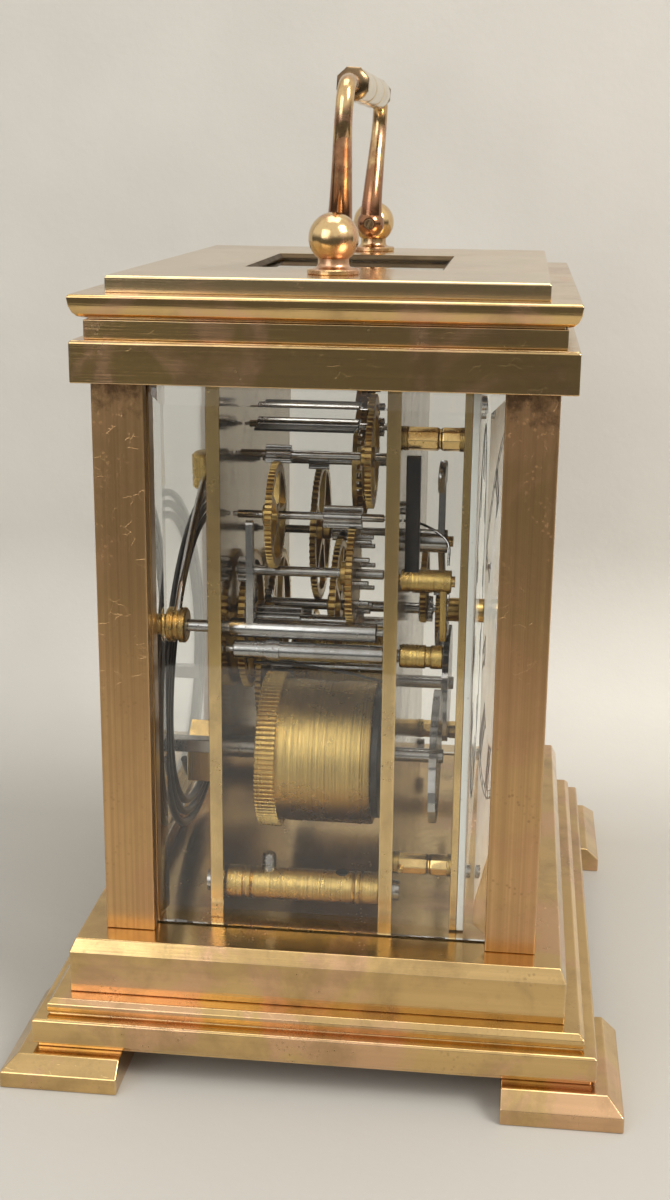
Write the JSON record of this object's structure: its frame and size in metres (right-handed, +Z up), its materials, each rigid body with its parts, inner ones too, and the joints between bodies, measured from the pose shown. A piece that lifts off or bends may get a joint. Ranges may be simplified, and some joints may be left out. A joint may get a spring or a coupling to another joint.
{
  "type": "mantel clock",
  "caption": "Brass carriage clock: glazed case on a stepped base with pad feet, bail handle, back door and a striking movement.",
  "frame": {"origin": "centre of the footprint, on the plane that the feet stand on", "axes": "+X to the right and -Y out of the dial when facing it, +Z up"},
  "size_m": [0.1472, 0.1202, 0.1923],
  "materials": {
    "polished_brass": "polished cast brass under old lacquer, with pink tarnish",
    "brushed_brass": "brass grained lengthwise, tarnished brown",
    "plate_brass": "fine-finished movement brass",
    "wheel_brass": "cut and grained wheel brass",
    "steel": "polished and grained steel",
    "black_steel": "fire-blackened steel wire",
    "blued_steel": "blued steel",
    "enamel": "white fired enamel",
    "bevelled_glass": "clear bevelled plate glass"
  },
  "bodies": {
    "case": {"foot_front_left": "polished_brass", "foot_front_right": "polished_brass", "foot_back_left": "polished_brass", "foot_back_right": "polished_brass", "base_plinth": "polished_brass", "base_block": "polished_brass", "pillar_front_left": "brushed_brass", "pillar_front_right": "brushed_brass", "pillar_back_left": "brushed_brass", "pillar_back_right": "brushed_brass", "side_glass_left": "bevelled_glass", "side_glass_right": "bevelled_glass", "front_glass": "bevelled_glass", "top_rim": "polished_brass", "top_cornice": "polished_brass", "top_plate": "polished_brass", "top_glass": "bevelled_glass", "handle_post_left": "polished_brass", "handle_post_right": "polished_brass", "back_plate": "plate_brass", "front_plate": "plate_brass", "plate_pillar_lower_left": "plate_brass", "plate_pillar_lower_right": "plate_brass", "plate_pillar_upper_left": "plate_brass", "plate_pillar_upper_right": "plate_brass", "dial_plate": "plate_brass", "dial": "enamel", "gong_block": "plate_brass", "gong": "black_steel", "platform": "polished_brass", "balance_cock": "polished_brass"},
    "handle": {"handle_arm_left": "polished_brass", "handle_arm_right": "polished_brass", "handle_grip": "polished_brass"},
    "back_door": {"door_frame": "polished_brass", "door_glass": "bevelled_glass"},
    "strike_barrel": {"strike_barrel": "wheel_brass"},
    "strike_first": {"strike_first_wheel": "wheel_brass"},
    "strike_second": {"strike_second_wheel": "wheel_brass"},
    "pin_wheel": {"pin_wheel": "wheel_brass"},
    "strike_fourth": {"strike_fourth_wheel": "wheel_brass"},
    "warning": {"warning_wheel": "wheel_brass"},
    "fly": {"fly": "steel"},
    "going_barrel": {"going_barrel": "wheel_brass"},
    "going_first": {"going_first_wheel": "wheel_brass"},
    "centre": {"centre_wheel": "wheel_brass", "minute_hand": "blued_steel"},
    "going_third": {"going_third_wheel": "wheel_brass"},
    "contrate": {"contrate_wheel": "wheel_brass"},
    "escape": {"escape_wheel": "wheel_brass"},
    "minute_work": {"minute_wheel": "wheel_brass"},
    "hour_work": {"hour_wheel": "wheel_brass"},
    "strike_winding": {"strike_winding_arbor": "steel"},
    "going_winding": {"going_winding_arbor": "steel"},
    "hammer": {"hammer": "steel"},
    "lifting": {"lifting_piece": "plate_brass"},
    "rack_hook": {"rack_hook": "plate_brass"},
    "rack": {"rack": "steel"},
    "pallets": {"pallet_lever": "steel"},
    "balance": {"balance": "wheel_brass"}
  },
  "joints": [
    {"name": "handle_pivot", "type": "hinge", "parent": "case", "child": "handle", "pos_m": [0, 0, 0.1612], "axis": [1, 0, 0], "range_deg": [-93.3, 86.7]},
    {"name": "door_hinge", "type": "hinge", "parent": "case", "child": "back_door", "pos_m": [0.0419, 0.039, 0.08], "axis": [0, 0, 1], "range_deg": [-95, 0]},
    {"name": "strike_fourth_spin", "type": "hinge", "parent": "case", "child": "strike_fourth", "pos_m": [-0.034, 0, 0.1075], "axis": [0, 1, 0], "continuous": true},
    {"name": "going_third_spin", "type": "hinge", "parent": "case", "child": "going_third", "pos_m": [0.007, 0, 0.0953], "axis": [0, 1, 0], "continuous": true},
    {"name": "strike_barrel_spin", "type": "hinge", "parent": "case", "child": "strike_barrel", "pos_m": [-0.0245, 0, 0.0549], "axis": [0, 1, 0], "continuous": true},
    {"name": "strike_first_spin", "type": "hinge", "parent": "case", "child": "strike_first", "pos_m": [-0.01305, 0, 0.0697], "axis": [0, 1, 0], "continuous": true},
    {"name": "strike_second_spin", "type": "hinge", "parent": "case", "child": "strike_second", "pos_m": [-0.022, 0, 0.0826], "axis": [0, 1, 0], "continuous": true},
    {"name": "pin_wheel_spin", "type": "hinge", "parent": "case", "child": "pin_wheel", "pos_m": [-0.032, 0, 0.0956], "axis": [0, 1, 0], "continuous": true},
    {"name": "warning_spin", "type": "hinge", "parent": "case", "child": "warning", "pos_m": [-0.0305, 0, 0.119], "axis": [0, 1, 0], "continuous": true},
    {"name": "fly_spin", "type": "hinge", "parent": "case", "child": "fly", "pos_m": [-0.0198, 0, 0.1232], "axis": [0, 1, 0], "continuous": true},
    {"name": "going_barrel_spin", "type": "hinge", "parent": "case", "child": "going_barrel", "pos_m": [0.0245, 0, 0.0549], "axis": [0, 1, 0], "continuous": true},
    {"name": "going_first_spin", "type": "hinge", "parent": "case", "child": "going_first", "pos_m": [0.0166, 0, 0.0718], "axis": [0, 1, 0], "continuous": true},
    {"name": "centre_spin", "type": "hinge", "parent": "case", "child": "centre", "pos_m": [0, 0, 0.08], "axis": [0, 1, 0], "continuous": true},
    {"name": "contrate_spin", "type": "hinge", "parent": "case", "child": "contrate", "pos_m": [0.003, 0, 0.1118], "axis": [0, 1, 0], "continuous": true},
    {"name": "minute_spin", "type": "hinge", "parent": "case", "child": "minute_work", "pos_m": [-0.0074, 0, 0.0874], "axis": [0, 1, 0], "continuous": true},
    {"name": "hour_spin", "type": "hinge", "parent": "case", "child": "hour_work", "pos_m": [0, 0, 0.08], "axis": [0, 1, 0], "continuous": true},
    {"name": "strike_winding_spin", "type": "hinge", "parent": "case", "child": "strike_winding", "pos_m": [-0.0245, 0, 0.0549], "axis": [0, 1, 0], "continuous": true},
    {"name": "going_winding_spin", "type": "hinge", "parent": "case", "child": "going_winding", "pos_m": [0.0245, 0, 0.0549], "axis": [0, 1, 0], "continuous": true},
    {"name": "escape_spin", "type": "hinge", "parent": "case", "child": "escape", "pos_m": [0.003, -0.00386, 0.13], "axis": [0, 0, 1], "continuous": true},
    {"name": "hammer_swing", "type": "hinge", "parent": "case", "child": "hammer", "pos_m": [-0.0415, 0, 0.0863], "axis": [0, 1, 0], "range_deg": [-12, 0], "stiffness_Nm_per_rad": 0.01},
    {"name": "lifting_swing", "type": "hinge", "parent": "case", "child": "lifting", "pos_m": [-0.0425, 0, 0.0822], "axis": [0, 1, 0], "range_deg": [-8, 0]},
    {"name": "hook_swing", "type": "hinge", "parent": "case", "child": "rack_hook", "pos_m": [-0.0415, 0, 0.0972], "axis": [0, 1, 0], "range_deg": [-5, 0]},
    {"name": "rack_swing", "type": "hinge", "parent": "case", "child": "rack", "pos_m": [-0.024, 0, 0.101], "axis": [0, 1, 0], "range_deg": [0, 10]},
    {"name": "pallet_swing", "type": "hinge", "parent": "case", "child": "pallets", "pos_m": [0.003, 0.00454, 0.139], "axis": [0, 0, 1], "range_deg": [-3, 3]},
    {"name": "balance_swing", "type": "hinge", "parent": "case", "child": "balance", "pos_m": [0.003, 0.01274, 0.142], "axis": [0, 0, 1], "range_deg": [-220, 220], "stiffness_Nm_per_rad": 0.000005}
  ],
  "couplings": [
    {"joint": "pin_wheel_spin", "follows": "strike_fourth_spin", "ratio": -0.2},
    {"joint": "strike_second_spin", "follows": "strike_fourth_spin", "ratio": 0.033333},
    {"joint": "strike_first_spin", "follows": "strike_fourth_spin", "ratio": -0.0066667},
    {"joint": "strike_barrel_spin", "follows": "strike_fourth_spin", "ratio": 0.0011111},
    {"joint": "warning_spin", "follows": "strike_fourth_spin", "ratio": -6},
    {"joint": "fly_spin", "follows": "strike_fourth_spin", "ratio": 36},
    {"joint": "centre_spin", "follows": "going_third_spin", "ratio": -0.13333},
    {"joint": "going_first_spin", "follows": "going_third_spin", "ratio": 0.022222},
    {"joint": "going_barrel_spin", "follows": "going_third_spin", "ratio": -0.0037037},
    {"joint": "contrate_spin", "follows": "going_third_spin", "ratio": -8},
    {"joint": "escape_spin", "follows": "going_third_spin", "ratio": 64},
    {"joint": "minute_spin", "follows": "going_third_spin", "ratio": 0.044444},
    {"joint": "hour_spin", "follows": "going_third_spin", "ratio": -0.011111}
  ]
}
